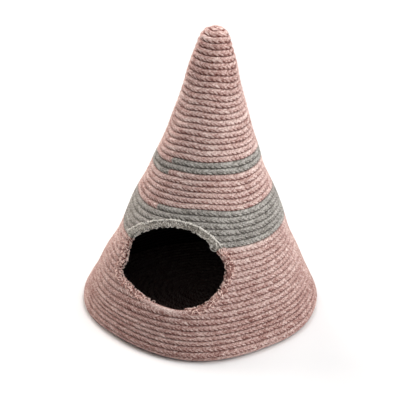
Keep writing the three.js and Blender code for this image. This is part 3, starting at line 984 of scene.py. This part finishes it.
# %% Stray fibres
FIBRE_STEPS, FIBRE_SIDES = 4, 3
FIBRE_ROOT, FIBRE_TIP = 0.13, 0.05  # half widths, thicker than real ones so that they show
FIBRE_BENDS, FIBRE_REACHES = (0.6, 2.2), (1.5, 3.2)  # in radians and millimetres
FIBRE_DYE, FIBRE_DYES = 0.1, 0.15
ROOT_DEPTH, ROOT_OUT = 0.4, -0.6  # depths of a fibre's root, and of a point outside the wall
ROOT_ROWS = 0.35  # of a root from its row's middle
ROW_CHOICE = 0.01  # step of the rows to choose from
SIDE_AZIMUTH = 90.0  # where the radius is taken that spreads the fibres
CLEAR_OF_DOOR = 1.2  # in widths of the edge
LEAST_HEIGHT = 0.3  # above the floor


def stray_fibres(name, count, bands, finish):
    """Fibres on the rope of some bands, spread by row as the radius is: each goes out of the wall and
    along it, its lift the sine and its reach the one less the cosine of a growing angle."""
    rows = np.concatenate([np.arange(first, last, ROW_CHOICE) for first, last in bands])
    share = np.clip(crest(rows, SIDE_AZIMUTH)[0], 1.0, None)
    row = rng.choice(rows, count, p=share / share.sum()) + rng.uniform(-ROOT_ROWS, ROOT_ROWS, count)
    azimuth = rng.uniform(-180.0, 180.0, count)
    kept = ~in_doorway(crest_point(row, azimuth), CLEAR_OF_DOOR)
    row, azimuth = row[kept] + azimuth[kept] / 360.0, azimuth[kept]

    root = wall_point(row, azimuth, ROOT_DEPTH)
    out = unit(wall_point(row, azimuth, ROOT_OUT) - root)
    level = unit(wall_point(row, azimuth + AZIMUTH_STEP, ROOT_DEPTH) - root)
    aim = rng.uniform(0, 2 * np.pi, (len(row), 1))
    flat = np.cos(aim) * level + np.sin(aim) * np.cross(out, level)
    bend = np.linspace(0.0, 1.0, FIBRE_STEPS) * rng.uniform(*FIBRE_BENDS, (len(row), 1))
    reach = rng.uniform(*FIBRE_REACHES, (len(row), 1))
    paths = root[:, None] + out[:, None] * (reach * np.sin(bend))[..., None]
    paths = paths + flat[:, None] * (reach * (1 - np.cos(bend)))[..., None]
    paths[..., 2] = np.maximum(paths[..., 2], LEAST_HEIGHT)
    radius = np.broadcast_to(np.linspace(FIBRE_ROOT, FIBRE_TIP, FIBRE_STEPS), paths.shape[:2])
    dye = rng.normal(FIBRE_DYE, FIBRE_DYES, len(row))
    return yarn_tubes(name, paths, np.cross(flat, out)[:, None], radius, FIBRE_SIDES, finish, dye)


PINK_COUNT, PINK_BANDS = 1500, [(0.0, 21.0), (23.0, 29.0), (36.0, 53.0)]  # first and last rows
GREY_COUNT, GREY_BANDS = 300, [(21.0, 23.0), (30.0, 35.0)]
fibres_pink = stray_fibres("stray_fibres_pink", PINK_COUNT, PINK_BANDS, pink_yarn)
fibres_grey = stray_fibres("stray_fibres_grey", GREY_COUNT, GREY_BANDS, grey_yarn)

# %% [markdown]
# ## Studio floor and wall
#
# The den stands on plain white paper, as in a catalogue picture. Seamless paper curves up behind the
# object, but a curve would be in the way of views from other sides. So the floor is one flat square,
# and a round white wall far off, which neither lights nor shades the den, ends it in low views.

# %% Studio floor and wall
FLOOR_HALF, FLOOR_DROP = 30.0, -0.001  # in metres, a hair below the den's foot
WALL_RADIUS, WALL_HEIGHT, WALL_SIDES = 25.0, 25.0, 64


def staged(name, corners, faces, finish, settings):
    """Piece of the studio, with corners in metres, in a plain finish with these settings."""
    material = bpy.data.materials.new(finish)
    material.use_nodes = True
    for socket, value in settings.items():
        material.node_tree.nodes["Principled BSDF"].inputs[socket].default_value = value
    mesh = bpy.data.meshes.new(name)
    mesh.from_pydata(corners.tolist(), [], faces.tolist())
    mesh.materials.append(material)
    made = added(name, mesh)
    return made


# matt paper has no shine, so that only the den's soft shadow shows on it
paper = {"Base Color": linear("#f8f8f8"), "Roughness": 0.9, "Specular IOR Level": 0.1}
square = np.array([(-1.0, -1.0), (1.0, -1.0), (1.0, 1.0), (-1.0, 1.0)]) * FLOOR_HALF
corners = np.column_stack([square, np.full(4, FLOOR_DROP)])
staged("studio_floor", corners, np.arange(4)[None], "matt_white_paper", paper)

# a wall lit to pure white shows no form of its own: two circles of points, joined side by side
white = {"Emission Color": linear("#ffffff"), "Emission Strength": 1.0}
turn = np.linspace(0.0, 2 * np.pi, WALL_SIDES, endpoint=False)
low = WALL_RADIUS * np.column_stack([np.cos(turn), np.sin(turn), np.zeros(WALL_SIDES)])
corners = np.concatenate([low, low + (0.0, 0.0, WALL_HEIGHT)])
here, after = np.arange(WALL_SIDES), np.roll(np.arange(WALL_SIDES), -1)
faces = np.column_stack([after, here, here + WALL_SIDES, after + WALL_SIDES])
wall = staged("studio_wall", corners, faces, "lit_white_wall", white)
for ray in ("diffuse", "glossy", "transmission", "shadow"):
    setattr(wall, "visible_" + ray, False)  # only the camera sees it
print("floor", 2 * FLOOR_HALF, "m wide, wall", WALL_HEIGHT, "m high")

# %% [markdown]
# ## Light
#
# The light is soft and comes from all round: a low softbox and a higher one at the right, a slightly
# warm one at the left, a weak one behind, a small lamp overhead and a faint surround. The softboxes
# could be area lights, but a sun with a wide angle lights the tip and the foot alike.

# %% Light
SURROUND = 0.2
SOFTBOXES = [
    # name, azimuth, elevation, angle that it fills, strength, colour
    ("softbox_right", 95.0, 12.0, 40.0, 1.9, "#ffffff"),
    ("softbox_above", 95.0, 62.0, 40.0, 1.0, "#ffffff"),
    ("softbox_left", -115.0, 25.0, 50.0, 2.9, "#fff3ec"),
    ("softbox_back", 170.0, 48.0, 50.0, 0.9, "#ffffff"),
]
LAMP_HEIGHT, LAMP_SIZE, LAMP_POWER = 0.9, 0.35, 1.8


def add_light(name, kind, **settings):
    """Light of a kind with its settings."""
    data = bpy.data.lights.new(name, kind)
    for setting, value in settings.items():
        setattr(data, setting, value)
    return added(name, data)


for name, azimuth, elevation, spread, strength, colour in SOFTBOXES:
    box = add_light(name, "SUN", energy=strength, angle=np.radians(spread), color=linear(colour)[:3])
    box.rotation_euler = (np.radians(90.0 - elevation), 0.0, np.radians(azimuth))
lamp = add_light("lamp_above", "AREA", size=LAMP_SIZE, energy=LAMP_POWER)
lamp.location = (0.0, 0.0, LAMP_HEIGHT)
lamp.visible_camera = False
world = bpy.data.worlds.new("faint_surround")
world.use_nodes = True
surround = world.node_tree.nodes["Background"].inputs
surround["Color"].default_value = linear("#ffffff")
surround["Strength"].default_value = SURROUND
bpy.context.scene.world = world
bpy.context.scene.view_settings.view_transform = "Standard"
print("lights:", ", ".join(light.name for light in bpy.data.lights))
